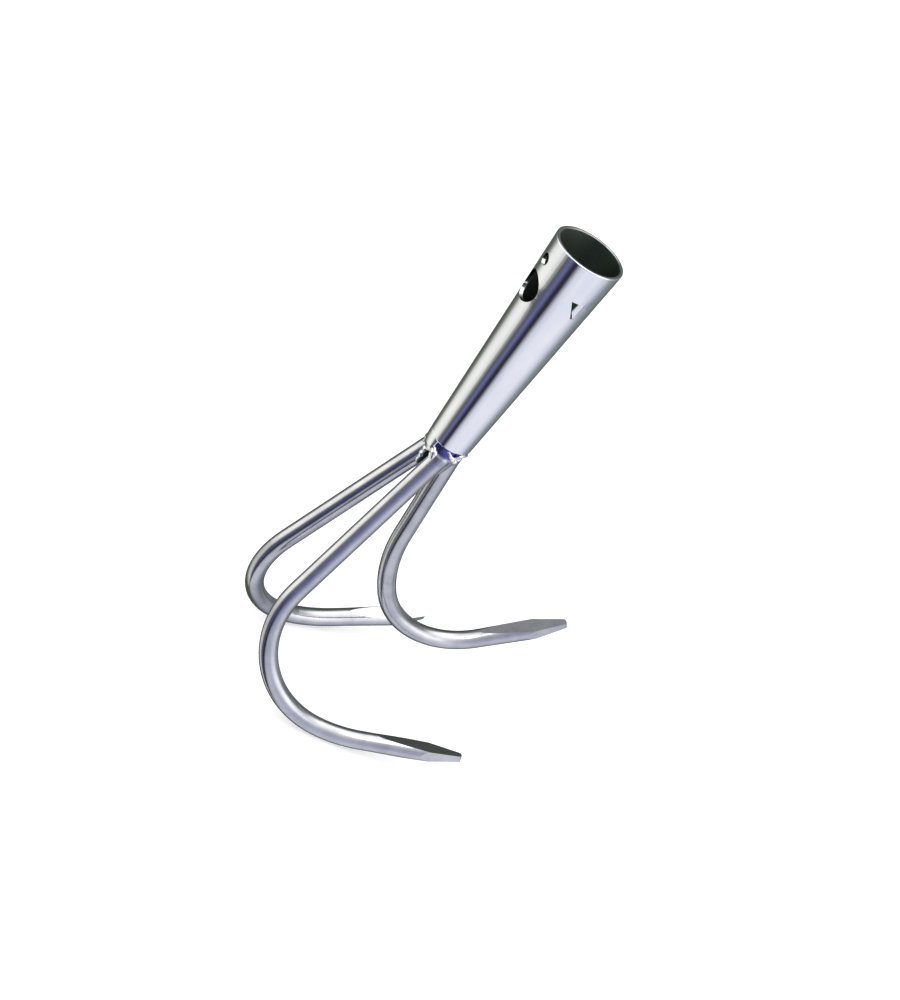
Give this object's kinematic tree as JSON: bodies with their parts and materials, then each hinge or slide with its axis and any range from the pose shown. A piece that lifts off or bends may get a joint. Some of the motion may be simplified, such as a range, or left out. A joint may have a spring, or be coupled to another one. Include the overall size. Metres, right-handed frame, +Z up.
{
  "type": "drag claw head",
  "caption": "Claw head for a pole: a tapered round socket with bent round-bar tines welded under it, all curving the same way to flattened points.",
  "frame": {"origin": "centre of the socket's mouth, on the plane of its rim", "axes": "+Z up out of the mouth along the socket's axis; +X the way the points reach; Y across, left tine at +Y and right tine at -Y"},
  "size_m": [0.1353, 0.0886, 0.238],
  "materials": {
    "zinc_socket": "bright zinc plate, glossy, over drawn steel tube",
    "zinc_bar": "zinc plate, satin, over hot-rolled round bar",
    "zinc_weld": "zinc plate over uneven weld metal"
  },
  "bodies": {
    "root": {"handle_socket": "zinc_socket", "centre_tine": "zinc_bar", "left_tine": "zinc_bar", "right_tine": "zinc_bar", "weld_core": "zinc_weld", "back_weld_bead": "zinc_weld", "left_weld_bead": "zinc_weld", "right_weld_bead": "zinc_weld"}
  },
  "joints": []
}
